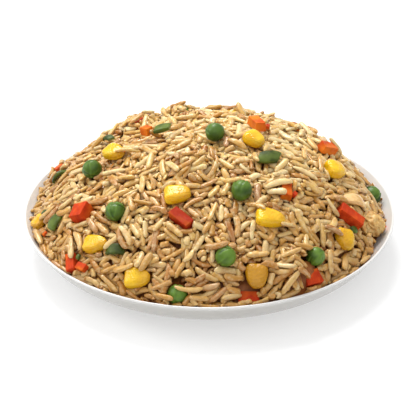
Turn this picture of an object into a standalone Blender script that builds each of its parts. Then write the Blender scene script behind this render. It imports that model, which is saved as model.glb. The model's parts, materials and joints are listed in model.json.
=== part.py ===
"""Fried rice heaped on a round white coupe plate, with peas, sweetcorn, diced
carrot, cut spring onion, a slice of onion and soft egg lumps.

Metres, +Z up. The origin is the middle of the plate's foot, on its underside,
and the serving side of the heap is towards -Y. Sizes below are in millimetres
and are multiplied by MM where the meshes are made.
"""

import math
import random

import bmesh
import bpy
from mathutils import Matrix, Vector, noise

MM = 0.001

# Plate: a shallow coupe dish on a low foot ring
RIM_RADIUS = 82.5
RIM_HEIGHT = 18.0
RIM_LAND = 1.3
FOOT_OUTER = 49.6
FOOT_INNER = 46.8
FOOT_DEPTH = 2.0
WELL_TOP = 5.4
WELL_UNDER = 2.3
WELL_RADIUS_IN = 46.0
WELL_RADIUS_OUT = 50.0
FLARE_IN = 3.6
FLARE_OUT = 4.0
SIDES = 48

# Heap of rice
HEAP_RISE = 38.5
HEAP_POWER = 0.9
HEAP_EDGE = 78.6
HEAP_EDGE_OVAL = 1.3
HEAP_LIP = 2.0
CLEARANCE = 0.4
# broad swells of the heap: polar angle, radius, height, width
SWELLS = ((150, 46, -1.5, 13), (112, 46, 2.0, 13), (28, 46, 4.0, 13), (8, 46, 1.5, 13))
RINGS = (0.13, 0.28, 0.42, 0.55, 0.66, 0.76, 0.85, 0.92, 0.965, 1.0)

POCKET_GAP = 0.36
# a pea's cutter has fewer sides than the pea, so it stands further off
COARSE_CUTTER = 1.9

# Each topping: polar angle, radius and height above the rim of its middle, its
# spin round the slope's normal, then its own sizes.
PEAS = (
    (-173, 51.7, 23.8, 0, 4.3), (-38, 3.2, 39.7, 40, 4.3), (-70, 40.3, 30.7, 80, 4.6),
    (9, 74.5, 0.6, 10, 4.2), (-135, 56.3, 21.5, 60, 4.3), (-84, 66.2, 14.8, 120, 4.4),
    (-100, 75.4, 1.5, 200, 4.3), (-51, 71.2, 8.6, 20, 4.2), (55, 56, 17.4, 0, 4.3),
    (105, 50, 22.5, 30, 4.5), (128, 70, 6.4, 90, 4.2), (82, 69, 8.6, 70, 4.4),
)
# length, width, thickness after the spin
CORN = (
    (180, 41.8, 28.8, 320, 11.0, 9.0, 6.0), (-109, 42.2, 29.9, 2, 12.0, 9.4, 6.4),
    (-13, 20.1, 37.7, 320, 10.0, 9.0, 6.4), (-62, 54.3, 22.9, 0, 13.4, 9.2, 6.4),
    (-74, 71.9, 7.6, 270, 11.4, 10.2, 6.6), (-114, 74.2, 5.6, 355, 11.6, 9.6, 6.4),
    (-134.5, 68.8, 10.9, 345, 11.6, 8.6, 6.2), (-170.5, 76.0, 0.6, 300, 8.4, 7.8, 5.2),
    (-34, 70.2, 7.6, 280, 10.8, 9.4, 6.2), (-2, 55.7, 21.2, 30, 11.2, 9.4, 6.4),
    (42, 68, 6.0, 100, 11.0, 9.0, 6.2), (74, 47, 23.4, 40, 11.6, 9.0, 6.4),
    (118, 64, 13.2, 150, 11.2, 9.4, 6.2), (97, 73.5, 5.6, 60, 10.4, 8.6, 6.0),
)
CARROTS = (
    (160, 72.0, 6.8, 20, 4.6, 4.2, 4.0), (-150, 63.1, 15.6, 335, 8.4, 8.0, 7.4),
    (157, 30.2, 33.2, 315, 5.0, 4.2, 4.0), (-103, 51.6, 23.8, 315, 11.0, 5.0, 5.0),
    (29, 24.2, 36.8, 290, 11.4, 5.0, 4.4), (-43, 44.8, 26.9, 90, 9.6, 5.0, 5.0),
    (15, 54.7, 23.2, 50, 13.0, 5.0, 4.4), (-23, 66.6, 10.8, 345, 13.4, 5.6, 5.0),
    (-55.5, 75.2, 1.4, 25, 8.4, 6.6, 6.0), (-77.5, 74.6, -1.2, 0, 9.4, 5.0, 4.6),
    (-139, 77.0, 2.2, 95, 9.0, 4.4, 4.4),
    (62, 71, 6.2, 30, 9.0, 7.6, 7.0), (91, 59, 17.4, 130, 12.0, 5.2, 5.0),
    (128, 51, 21.2, 75, 8.6, 8.0, 6.6), (36, 50.5, 24.9, 10, 9.0, 5.2, 5.0),
)
# length along the bend, width, thickness, bend in degrees
GREENS = (
    (152.5, 51.3, 23.2, 300, 7.4, 4.2, 1.6, 70), (170, 68.5, 10.4, 10, 8.6, 4.4, 1.7, 105),
    (160, 22.0, 36.6, 15, 7.2, 5.6, 2.6, 15), (-30.5, 30.0, 34.4, 10, 9.8, 6.6, 2.6, 12),
    (-160.5, 71.0, 7.2, 50, 8.4, 7.0, 2.0, 60), (-125.5, 68.1, 11.7, 350, 9.6, 5.0, 1.9, 115),
    (70, 60.5, 17.0, 85, 9.0, 6.0, 2.0, 80), (112, 74.0, 2.6, 160, 8.0, 5.0, 2.2, 40),
)
ONIONS = ((-12.5, 65.4, 12.2, 20, 12.4, 6.2, 2.0, 75),)
# length, width, height of a lump
EGGS = (
    (-12.5, 73.6, 1.4, 40, 12.4, 11.0, 8.6), (-111, 23.0, 35.6, 355, 11.2, 8.6, 6.0),
    (-60, 68.6, 10.6, 10, 8.4, 7.6, 5.8),
)


def material(name, colour, roughness, subsurface=0.0):
    """A Principled material of one colour, non-metallic."""
    made = bpy.data.materials.new(name)
    made.use_nodes = True
    shader = made.node_tree.nodes["Principled BSDF"]
    shader.inputs["Base Color"].default_value = (*colour, 1.0)
    shader.inputs["Roughness"].default_value = roughness
    shader.inputs["Metallic"].default_value = 0.0
    shader.inputs["Subsurface Weight"].default_value = subsurface
    made.diffuse_color = (*colour, 1.0)
    return made


def inner_height(radius):
    """Height of the plate's upper surface at this radius."""
    across = max(0.0, radius - WELL_RADIUS_IN) / (RIM_RADIUS - RIM_LAND - WELL_RADIUS_IN)
    return WELL_TOP + (RIM_HEIGHT - 0.4 - WELL_TOP) * across**FLARE_IN


def outer_height(radius):
    """Height of the plate's underside at this radius, outside its foot."""
    across = max(0.0, radius - WELL_RADIUS_OUT) / (RIM_RADIUS - WELL_RADIUS_OUT)
    return WELL_UNDER + (RIM_HEIGHT - WELL_UNDER) * across**FLARE_OUT


def edge_radius(turn):
    """Where the rice meets the plate, a little uneven and wider to the front."""
    wander = 0.45 * math.sin(5 * turn + 0.6) + 0.35 * math.sin(11 * turn + 2.1)
    return HEAP_EDGE - HEAP_EDGE_OVAL * math.cos(2 * turn) - 0.5 * math.cos(turn) + wander - 0.3


def heap_height(x, y):
    """Height of the rice surface over the plate's foot, at a point in mm."""
    turn = math.atan2(y, x)
    edge = edge_radius(turn)
    across = min(1.0, math.hypot(x, y) / edge)
    brim = RIM_HEIGHT + 0.3
    sunk = brim - (inner_height(edge) + CLEARANCE + HEAP_LIP)
    height = brim - sunk * across**8 + HEAP_RISE * (1 - across**2) ** HEAP_POWER
    for angle, radius, swell, width in SWELLS:
        dx = x - radius * math.cos(math.radians(angle))
        dy = y - radius * math.sin(math.radians(angle))
        height += swell * (1 - across**4) * math.exp(-(dx * dx + dy * dy) / (2 * width * width))
    lumps = noise.noise(Vector((x / 11.0, y / 11.0, 3.7))) + 0.5 * noise.noise(Vector((x / 5.5, y / 5.5, 9.1)))
    return height + 1.7 * lumps * (1 - across**6)


def slope_normal(x, y):
    """Outward normal of the smooth heap at a point in mm."""
    step = 3.0
    rise_x = (heap_height(x + step, y) - heap_height(x - step, y)) / (2 * step)
    rise_y = (heap_height(x, y + step) - heap_height(x, y - step)) / (2 * step)
    return Vector((-rise_x, -rise_y, 1.0)).normalized()


def seat(angle, radius, up, spin, upright=0.2):
    """Frame of a topping: lying along the heap's slope, turned by its spin."""
    x = radius * math.cos(math.radians(angle))
    y = radius * math.sin(math.radians(angle))
    reach = min(1.0, 73.0 / radius)
    normal = slope_normal(x * reach, y * reach) * (1 - upright) + Vector((0, 0, upright))
    normal.normalize()
    side = Vector((1, 0, 0))
    side = (side - side.dot(normal) * normal).normalized()
    ahead = normal.cross(side)
    turn = math.radians(spin)
    along = side * math.cos(turn) + ahead * math.sin(turn)
    frame = Matrix((along, normal.cross(along), normal)).transposed().to_4x4()
    frame.translation = Vector((x, y, RIM_HEIGHT + up)) * MM
    return frame


def power(value, exponent):
    return math.copysign(abs(value) ** exponent, value)


def pea_mesh(bm, radius, seed, grow):
    """A slightly flattened ball with one shallow dimple."""
    bmesh.ops.create_uvsphere(bm, u_segments=8 if grow else 9, v_segments=5 if grow else 6, radius=1.0)
    grow *= COARSE_CUTTER
    for vert in bm.verts:
        unit = vert.co.normalized()
        swell = 1.0 + 0.02 * math.sin(3 * math.atan2(unit.y, unit.x) + seed) * (1 - unit.z**2)
        dimple = 0.05 * max(0.0, unit.dot(Vector((0.8, 0.3, 0.52)))) ** 8
        size = radius * (swell - dimple)
        vert.co = Vector((unit.x * size, unit.y * size * 0.97, unit.z * size * 0.95)) + unit * grow


def corn_mesh(bm, length, width, thickness, seed, grow):
    """A kernel: broad rounded crown at -X, narrowing to its tip at +X."""
    bmesh.ops.create_uvsphere(bm, u_segments=9, v_segments=6, radius=1.0)
    for vert in bm.verts:
        unit = vert.co.normalized()
        along = power(unit.x, 0.78)
        towards_tip = (along + 1) / 2
        narrow = 1 - 0.36 * towards_tip**1.6
        dent = 0.10 * max(0.0, -along) ** 3 * (1 - abs(unit.y))
        vert.co = Vector((
            (along + dent) * (length / 2 + grow),
            power(unit.y, 0.8) * narrow * width / 2 + unit.y * grow,
            power(unit.z, 0.85) * (1 - 0.2 * towards_tip) * thickness / 2 + unit.z * grow,
        ))


def dice_mesh(bm, length, width, thickness, seed, grow):
    """A hand-cut block whose corners aren't square."""
    bmesh.ops.create_cube(bm, size=1.0)
    cut = random.Random(seed)
    for vert in sorted(bm.verts, key=lambda v: (v.co.x, v.co.y, v.co.z)):
        uneven = [1 + cut.uniform(-0.10, 0.04) for _ in range(3)]
        vert.co = Vector((
            vert.co.x * (length * uneven[0] + 2 * grow),
            vert.co.y * (width * uneven[1] + 2 * grow),
            vert.co.z * (thickness * uneven[2] + 2 * grow),
        ))


def bent_mesh(bm, length, width, thickness, bend, seed, grow):
    """A strip cut from a ring of stalk: bent about Y, its ends narrower."""
    stations = 5
    half = math.radians(bend) / 2
    arc = length / (2 * half)
    sections = []
    for i in range(stations + 1):
        t = 2 * i / stations - 1
        turn = half * t * (1 + 2 * grow / length)
        centre = Vector((arc * math.sin(turn), 0, arc * (math.cos(turn) - math.cos(half) * 0.5 - 0.5)))
        out = Vector((math.sin(turn), 0, math.cos(turn)))
        wide = width / 2 * (1 - 0.35 * t * t) + grow
        deep = thickness / 2 * (1 - 0.25 * t * t) + grow
        corners = ((-1, 0), (-0.7, 1), (0.7, 1), (1, 0), (0.7, -1), (-0.7, -1))
        sections.append([
            bm.verts.new(centre + Vector((0, u * wide, 0)) + out * v * deep) for u, v in corners
        ])
    for here, there in zip(sections, sections[1:]):
        for k in range(6):
            bm.faces.new((here[k], here[(k + 1) % 6], there[(k + 1) % 6], there[k]))
    bm.faces.new(sections[0][::-1])
    bm.faces.new(sections[-1])
    bmesh.ops.recalc_face_normals(bm, faces=bm.faces)


def lump_mesh(bm, length, width, height, seed, grow):
    """A soft lump with shallow hollows."""
    bmesh.ops.create_icosphere(bm, subdivisions=2, radius=1.0)
    for vert in bm.verts:
        unit = vert.co.normalized()
        swell = 1 + 0.16 * noise.noise(unit * 1.7 + Vector((seed, 0, 0)))
        vert.co = Vector((
            unit.x * length / 2 * swell, unit.y * width / 2 * swell, unit.z * height / 2 * swell
        )) + unit * grow


def finish(bm, name, look, frame, collection, smooth_angle=math.radians(50)):
    """Turns a mesh in mm into a placed object in metres."""
    bmesh.ops.scale(bm, vec=(MM, MM, MM), verts=bm.verts)
    mesh = bpy.data.meshes.new(name)
    bm.to_mesh(mesh)
    bm.free()
    mesh.shade_smooth()
    mesh.set_sharp_from_angle(angle=smooth_angle)
    mesh.materials.append(look)
    made = bpy.data.objects.new(name, mesh)
    made.location = frame.to_translation()
    made.rotation_euler = frame.to_euler()
    collection.objects.link(made)
    return made


def add_topping(kind, number, row, maker, look, sizes_from=4):
    """One topping and the slightly larger cutter that makes its pocket."""
    name = f"{kind}_{number:02d}"
    frame = seat(*row[:4])
    body = bmesh.new()
    maker(body, *row[sizes_from:], number * 1.7, 0.0)
    made = finish(body, name, look, frame, bpy.context.scene.collection)
    if maker is dice_mesh:
        edge = made.modifiers.new("Cut edges", "BEVEL")
        edge.width = 0.45 * MM
        edge.segments = 1
    pocket = bmesh.new()
    maker(pocket, *row[sizes_from:], number * 1.7, POCKET_GAP)
    cutter = finish(pocket, f"pocket_{name}", look, frame, pockets)
    cutter.hide_render = True
    cutter.display_type = "WIRE"
    made.parent = root
    cutter.parent = root
    return made


for existing in list(bpy.data.objects):
    bpy.data.objects.remove(existing, do_unlink=True)

root = bpy.data.objects.new("fried_rice_plate", None)
bpy.context.scene.collection.objects.link(root)
pockets = bpy.data.collections.new("Pockets")
bpy.context.scene.collection.children.link(pockets)

WHITE_GLAZE = material("white_glaze", (0.86, 0.85, 0.82), 0.22)
RICE = material("fried_rice", (0.60, 0.40, 0.17), 0.45, 0.1)
PEA_GREEN = material("pea_green", (0.12, 0.24, 0.05), 0.35, 0.1)
CORN_YELLOW = material("corn_yellow", (0.80, 0.50, 0.04), 0.3, 0.1)
CARROT_ORANGE = material("carrot_orange", (0.62, 0.10, 0.03), 0.4, 0.1)
STALK_GREEN = material("stalk_green", (0.16, 0.26, 0.05), 0.4)
ONION_PALE = material("onion_pale", (0.72, 0.50, 0.22), 0.35, 0.2)
EGG_CREAM = material("egg_cream", (0.68, 0.46, 0.18), 0.5, 0.1)


# Plate: one profile turned about Z, from the middle of the well outwards, over
# the rim, down the outer side, round the foot ring and back to the axis
profile = [(0.0, WELL_TOP)]
for radius in (WELL_RADIUS_IN, 58.0, 66.0, 71.5, 75.5, 78.8):
    profile.append((radius, inner_height(radius)))
profile += [
    (RIM_RADIUS - RIM_LAND, RIM_HEIGHT - 0.4), (RIM_RADIUS - 0.75, RIM_HEIGHT), (RIM_RADIUS - 0.25, RIM_HEIGHT - 0.1),
    (RIM_RADIUS, RIM_HEIGHT - 0.7),
]
for radius in (81.2, 78.6, 75.0, 69.5, 60.0):
    profile.append((radius, outer_height(radius) - (0.5 if radius > 81 else 0.0)))
profile += [(WELL_RADIUS_OUT + 0.6, WELL_UNDER), (FOOT_OUTER, 0.0), (FOOT_INNER, 0.0), (FOOT_INNER - 0.8, FOOT_DEPTH), (0.0, FOOT_DEPTH)]
bm = bmesh.new()
ring = [bm.verts.new((radius, 0.0, height)) for radius, height in profile]
for here, there in zip(ring, ring[1:]):
    bm.edges.new((here, there))
plate = finish(bm, "plate", WHITE_GLAZE, Matrix(), bpy.context.scene.collection, math.radians(40))
turned = plate.modifiers.new("Turned", "SCREW")
turned.axis = "Z"
turned.steps = SIDES
turned.render_steps = SIDES
turned.use_merge_vertices = True
turned.merge_threshold = 0.00001
turned.use_smooth_shade = True
plate.parent = root

# Toppings and their pockets
for number, row in enumerate(PEAS, 1):
    add_topping("pea", number, row, pea_mesh, PEA_GREEN)
for number, row in enumerate(CORN, 1):
    add_topping("corn", number, row, corn_mesh, CORN_YELLOW)
for number, row in enumerate(CARROTS, 1):
    add_topping("carrot", number, row, dice_mesh, CARROT_ORANGE)
for number, row in enumerate(GREENS, 1):
    add_topping("green", number, row, bent_mesh, STALK_GREEN)
for number, row in enumerate(ONIONS, 1):
    add_topping("onion", number, row, bent_mesh, ONION_PALE)
for number, row in enumerate(EGGS, 1):
    add_topping("egg", number, row, lump_mesh, EGG_CREAM)

# Heap: rings of points under the rice surface and over the plate's well
bm = bmesh.new()
turns = [2 * math.pi * k / SIDES for k in range(SIDES)]


def ring_of(share, height_at):
    made = []
    for turn in turns:
        radius = edge_radius(turn) * share
        x, y = radius * math.cos(turn), radius * math.sin(turn)
        made.append(bm.verts.new((x, y, height_at(x, y, radius))))
    return made


def rice_top(x, y, radius):
    return heap_height(x, y)


def rice_under(x, y, radius):
    return inner_height(radius) + CLEARANCE


def bridge(lower, upper):
    for k in range(SIDES):
        following = (k + 1) % SIDES
        bm.faces.new((lower[k], lower[following], upper[following], upper[k]))


over = [ring_of(share, rice_top) for share in RINGS]
under = [ring_of(share, rice_under) for share in (1.0, 0.955, 0.89, 0.79, 0.6)]
bridge(under[0], over[-1])
for inner, outer in zip(over, over[1:]):
    bridge(outer, inner)
for outer, inner in zip(under, under[1:]):
    bridge(inner, outer)
summit = bm.verts.new((0, 0, heap_height(0, 0)))
base = bm.verts.new((0, 0, WELL_TOP + CLEARANCE))
for k in range(SIDES):
    following = (k + 1) % SIDES
    bm.faces.new((over[0][k], over[0][following], summit))
    bm.faces.new((under[-1][following], under[-1][k], base))
bmesh.ops.recalc_face_normals(bm, faces=bm.faces)
bmesh.ops.triangulate(bm, faces=bm.faces)
heap = finish(bm, "rice_heap", RICE, Matrix(), bpy.context.scene.collection)
carve = heap.modifiers.new("Pockets for the toppings", "BOOLEAN")
carve.operation = "DIFFERENCE"
carve.solver = "EXACT"
carve.operand_type = "COLLECTION"
carve.collection = pockets
heap.parent = root
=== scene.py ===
"""Looks of the plate of fried rice: thousands of separate cooked grains laid on a
darker core, with peas, sweetcorn, carrot, green stalk, onion and egg, on a white
glazed plate. Lengths in the tables are millimetres, the meshes are metres."""
import json
import math
import random

import bmesh
import bpy
import numpy as np
from mathutils import Matrix, Vector, noise
from mathutils.bvhtree import BVHTree

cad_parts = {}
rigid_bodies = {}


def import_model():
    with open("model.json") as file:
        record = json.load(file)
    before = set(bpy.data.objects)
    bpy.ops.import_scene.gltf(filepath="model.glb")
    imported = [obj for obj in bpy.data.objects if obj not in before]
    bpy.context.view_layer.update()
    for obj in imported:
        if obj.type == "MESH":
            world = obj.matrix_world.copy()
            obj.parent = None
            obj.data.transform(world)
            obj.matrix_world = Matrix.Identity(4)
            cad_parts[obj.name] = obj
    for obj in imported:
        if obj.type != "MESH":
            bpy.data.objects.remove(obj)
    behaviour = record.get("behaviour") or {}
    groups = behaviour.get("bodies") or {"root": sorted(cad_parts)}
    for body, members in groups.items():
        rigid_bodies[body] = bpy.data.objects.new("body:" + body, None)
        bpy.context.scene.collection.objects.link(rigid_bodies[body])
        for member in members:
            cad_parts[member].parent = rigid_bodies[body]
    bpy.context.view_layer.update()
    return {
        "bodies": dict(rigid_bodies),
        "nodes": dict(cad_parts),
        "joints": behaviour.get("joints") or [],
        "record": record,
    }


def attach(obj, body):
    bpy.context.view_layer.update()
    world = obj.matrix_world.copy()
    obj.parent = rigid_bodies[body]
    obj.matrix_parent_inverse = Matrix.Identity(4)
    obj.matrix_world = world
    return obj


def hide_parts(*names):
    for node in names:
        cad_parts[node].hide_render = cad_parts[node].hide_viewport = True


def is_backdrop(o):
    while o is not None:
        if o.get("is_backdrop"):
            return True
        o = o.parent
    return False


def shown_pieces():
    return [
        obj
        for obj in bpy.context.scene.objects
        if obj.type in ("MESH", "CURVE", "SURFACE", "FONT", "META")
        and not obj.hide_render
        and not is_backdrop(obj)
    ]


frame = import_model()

keep = set(frame["nodes"].values()) | set(frame["bodies"].values())
for o in list(bpy.data.objects):
    if o not in keep:
        bpy.data.objects.remove(o, do_unlink=True)

MM = 0.001

# ---------------------------------------------------------------- the part's own sizes
RIM_RADIUS, RIM_HEIGHT, RIM_LAND = 82.5, 18.0, 1.3
WELL_TOP, WELL_UNDER, WELL_RADIUS_IN, WELL_RADIUS_OUT = 5.4, 2.3, 46.0, 50.0
FLARE_IN, FLARE_OUT = 3.6, 4.0
FOOT_OUTER, FOOT_INNER, FOOT_DEPTH = 49.6, 46.8, 2.0
HEAP_RISE, HEAP_POWER, HEAP_EDGE, HEAP_EDGE_OVAL, HEAP_LIP, CLEARANCE = 38.5, 0.9, 78.6, 1.3, 2.0, 0.4
SWELLS = ((150, 46, -1.5, 13), (112, 46, 2.0, 13), (28, 46, 4.0, 13), (8, 46, 1.5, 13))

PEAS = (
    (-173, 51.7, 23.8, 0, 4.3), (-38, 3.2, 39.7, 40, 4.3), (-70, 40.3, 30.7, 80, 4.6),
    (9, 74.5, 0.6, 10, 4.2), (-135, 56.3, 21.5, 60, 4.3), (-84, 66.2, 14.8, 120, 4.4),
    (-100, 75.4, 1.5, 200, 4.3), (-51, 71.2, 8.6, 20, 4.2), (55, 56, 17.4, 0, 4.3),
    (105, 50, 22.5, 30, 4.5), (128, 70, 6.4, 90, 4.2), (82, 69, 8.6, 70, 4.4),
)
CORN = (
    (180, 41.8, 28.8, 320, 11.0, 9.0, 6.0), (-109, 42.2, 29.9, 2, 12.0, 9.4, 6.4),
    (-13, 20.1, 37.7, 320, 10.0, 9.0, 6.4), (-62, 54.3, 22.9, 0, 13.4, 9.2, 6.4),
    (-74, 71.9, 7.6, 270, 11.4, 10.2, 6.6), (-114, 74.2, 5.6, 355, 11.6, 9.6, 6.4),
    (-134.5, 68.8, 10.9, 345, 11.6, 8.6, 6.2), (-170.5, 76.0, 0.6, 300, 8.4, 7.8, 5.2),
    (-34, 70.2, 7.6, 280, 10.8, 9.4, 6.2), (-2, 55.7, 21.2, 30, 11.2, 9.4, 6.4),
    (42, 68, 6.0, 100, 11.0, 9.0, 6.2), (74, 47, 23.4, 40, 11.6, 9.0, 6.4),
    (118, 64, 13.2, 150, 11.2, 9.4, 6.2), (97, 73.5, 5.6, 60, 10.4, 8.6, 6.0),
)
CARROTS = (
    (160, 72.0, 6.8, 20, 4.6, 4.2, 4.0), (-150, 63.1, 15.6, 335, 8.4, 8.0, 7.4),
    (157, 30.2, 33.2, 315, 5.0, 4.2, 4.0), (-103, 51.6, 23.8, 315, 11.0, 5.0, 5.0),
    (29, 24.2, 36.8, 290, 11.4, 5.0, 4.4), (-43, 44.8, 26.9, 90, 9.6, 5.0, 5.0),
    (15, 54.7, 23.2, 50, 13.0, 5.0, 4.4), (-23, 66.6, 10.8, 345, 13.4, 5.6, 5.0),
    (-55.5, 75.2, 1.4, 25, 8.4, 6.6, 6.0), (-77.5, 74.6, -1.2, 0, 9.4, 5.0, 4.6),
    (-139, 77.0, 2.2, 95, 9.0, 4.4, 4.4),
    (62, 71, 6.2, 30, 9.0, 7.6, 7.0), (91, 59, 17.4, 130, 12.0, 5.2, 5.0),
    (128, 51, 21.2, 75, 8.6, 8.0, 6.6), (36, 50.5, 24.9, 10, 9.0, 5.2, 5.0),
)
GREENS = (
    (152.5, 51.3, 23.2, 300, 7.4, 4.2, 1.6, 70), (170, 68.5, 10.4, 10, 8.6, 4.4, 1.7, 105),
    (160, 22.0, 36.6, 15, 7.2, 5.6, 2.6, 15), (-30.5, 30.0, 34.4, 10, 9.8, 6.6, 2.6, 12),
    (-160.5, 71.0, 7.2, 50, 8.4, 7.0, 2.0, 60), (-125.5, 68.1, 11.7, 350, 9.6, 5.0, 1.9, 115),
    (70, 60.5, 17.0, 85, 9.0, 6.0, 2.0, 80), (112, 74.0, 2.6, 160, 8.0, 5.0, 2.2, 40),
)
ONIONS = ((-12.5, 65.4, 12.2, 20, 12.4, 6.2, 2.0, 75),)
EGGS = (
    (-12.5, 73.6, 1.4, 40, 12.4, 11.0, 8.6), (-111, 23.0, 35.6, 355, 11.2, 8.6, 6.0),
    (-60, 68.6, 10.6, 10, 8.4, 7.6, 5.8),
)
# small bits that are loose among the grains: kind, polar angle, radius, height over the rice, spin, size
BITS = (
    ("green", -26.4, 69.7, 0.5, 25, 4.4), ("green", -137.5, 75.0, 0.4, 60, 2.6), ("green", -172.0, 73.5, 0.5, 20, 3.6),
    ("carrot", 20, 27.5, 0.3, 80, 3.0), ("carrot", -161, 75.5, 0.3, 30, 2.6), ("carrot", -41.5, 48.6, 0.2, 60, 3.2),
    ("carrot", -8.6, 78.0, 0.2, 60, 3.0), ("carrot", -134, 77.2, 0.2, 325, 5.2),
)


def inner_height(radius):
    across = max(0.0, radius - WELL_RADIUS_IN) / (RIM_RADIUS - RIM_LAND - WELL_RADIUS_IN)
    return WELL_TOP + (RIM_HEIGHT - 0.4 - WELL_TOP) * across**FLARE_IN


def outer_height(radius):
    across = max(0.0, radius - WELL_RADIUS_OUT) / (RIM_RADIUS - WELL_RADIUS_OUT)
    return WELL_UNDER + (RIM_HEIGHT - WELL_UNDER) * across**FLARE_OUT


def edge_radius(turn):
    wander = 0.45 * math.sin(5 * turn + 0.6) + 0.35 * math.sin(11 * turn + 2.1)
    return HEAP_EDGE - HEAP_EDGE_OVAL * math.cos(2 * turn) - 0.5 * math.cos(turn) + wander - 0.3


def heap_height(x, y):
    turn = math.atan2(y, x)
    edge = edge_radius(turn)
    across = min(1.0, math.hypot(x, y) / edge)
    brim = RIM_HEIGHT + 0.3
    sunk = brim - (inner_height(edge) + CLEARANCE + HEAP_LIP)
    height = brim - sunk * across**8 + HEAP_RISE * (1 - across**2) ** HEAP_POWER
    for angle, radius, swell, width in SWELLS:
        dx = x - radius * math.cos(math.radians(angle))
        dy = y - radius * math.sin(math.radians(angle))
        height += swell * (1 - across**4) * math.exp(-(dx * dx + dy * dy) / (2 * width * width))
    lumps = noise.noise(Vector((x / 11.0, y / 11.0, 3.7))) + 0.5 * noise.noise(Vector((x / 5.5, y / 5.5, 9.1)))
    return height + 1.7 * lumps * (1 - across**6)


def slope_normal(x, y):
    step = 3.0
    rise_x = (heap_height(x + step, y) - heap_height(x - step, y)) / (2 * step)
    rise_y = (heap_height(x, y + step) - heap_height(x, y - step)) / (2 * step)
    return Vector((-rise_x, -rise_y, 1.0)).normalized()


def seat(angle, radius, up, spin, upright=0.2):
    x = radius * math.cos(math.radians(angle))
    y = radius * math.sin(math.radians(angle))
    reach = min(1.0, 73.0 / radius)
    normal = slope_normal(x * reach, y * reach) * (1 - upright) + Vector((0, 0, upright))
    normal.normalize()
    side = Vector((1, 0, 0))
    side = (side - side.dot(normal) * normal).normalized()
    ahead = normal.cross(side)
    turn = math.radians(spin)
    along = side * math.cos(turn) + ahead * math.sin(turn)
    frame = Matrix((along, normal.cross(along), normal)).transposed().to_4x4()
    frame.translation = Vector((x, y, RIM_HEIGHT + up))
    return frame


def power(value, exponent):
    return math.copysign(abs(value) ** exponent, value)


# ---------------------------------------------------------------- material helpers
class Nodes:
    """Short calls for building one material's node tree."""

    def __init__(self, name):
        self.material = bpy.data.materials.new(name)
        self.material.use_nodes = True
        self.tree = self.material.node_tree
        self.tree.nodes.clear()
        self.out = self.tree.nodes.new("ShaderNodeOutputMaterial")
        self.shader = self.tree.nodes.new("ShaderNodeBsdfPrincipled")
        self.tree.links.new(self.shader.outputs[0], self.out.inputs[0])

    def new(self, kind, inputs=None, **settings):
        node = self.tree.nodes.new(kind)
        for key, value in settings.items():
            setattr(node, key, value)
        for key, value in (inputs or {}).items():
            self.feed(node.inputs[key], value)
        return node

    def feed(self, socket, value):
        if isinstance(value, bpy.types.NodeSocket):
            self.tree.links.new(value, socket)
        else:
            socket.default_value = value

    def set(self, **values):
        for key, value in values.items():
            self.feed(self.shader.inputs[key.replace("_", " ")], value)

    def coords(self):
        return self.new("ShaderNodeTexCoord").outputs["Object"]

    def noise(self, vector, scale, detail=3.0, rough=0.55, distortion=0.0):
        return self.new("ShaderNodeTexNoise", {"Vector": vector, "Scale": scale, "Detail": detail, "Roughness": rough, "Distortion": distortion}).outputs["Fac"]

    def ramp(self, value, stops, mode="LINEAR"):
        node = self.new("ShaderNodeValToRGB", {"Fac": value})
        node.color_ramp.interpolation = mode
        while len(node.color_ramp.elements) < len(stops):
            node.color_ramp.elements.new(0.5)
        for element, (at, colour) in zip(node.color_ramp.elements, stops):
            element.position = at
            element.color = (*colour, 1.0) if len(colour) == 3 else colour
        return node.outputs["Color"]

    def mix(self, factor, a, b, mode="MIX"):
        node = self.tree.nodes.new("ShaderNodeMix")
        node.data_type = "RGBA"
        node.blend_type = mode
        self.feed(node.inputs[0], factor)
        for socket, value in ((node.inputs[6], a), (node.inputs[7], b)):
            self.feed(socket, (*value, 1.0) if isinstance(value, tuple) and len(value) == 3 else value)
        return node.outputs[2]

    def span(self, value, low, high, to_low=0.0, to_high=1.0):
        return self.new("ShaderNodeMapRange", {"Value": value, "From Min": low, "From Max": high, "To Min": to_low, "To Max": to_high}).outputs["Result"]

    def attribute(self, name):
        return self.new("ShaderNodeAttribute", attribute_name=name).outputs["Fac"]

    def math(self, operation, a, b=0.0):
        node = self.new("ShaderNodeMath", operation=operation)
        self.feed(node.inputs[0], a)
        self.feed(node.inputs[1], b)
        return node.outputs[0]

    def bump(self, height, strength, distance, after=None):
        node = self.new("ShaderNodeBump", {"Height": height, "Strength": strength, "Distance": distance})
        if after is not None:
            self.feed(node.inputs["Normal"], after)
        return node.outputs["Normal"]


def skin_radius(shader, scale, radius):
    shader.inputs["Subsurface Radius"].default_value = radius
    shader.inputs["Subsurface Scale"].default_value = scale


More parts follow.
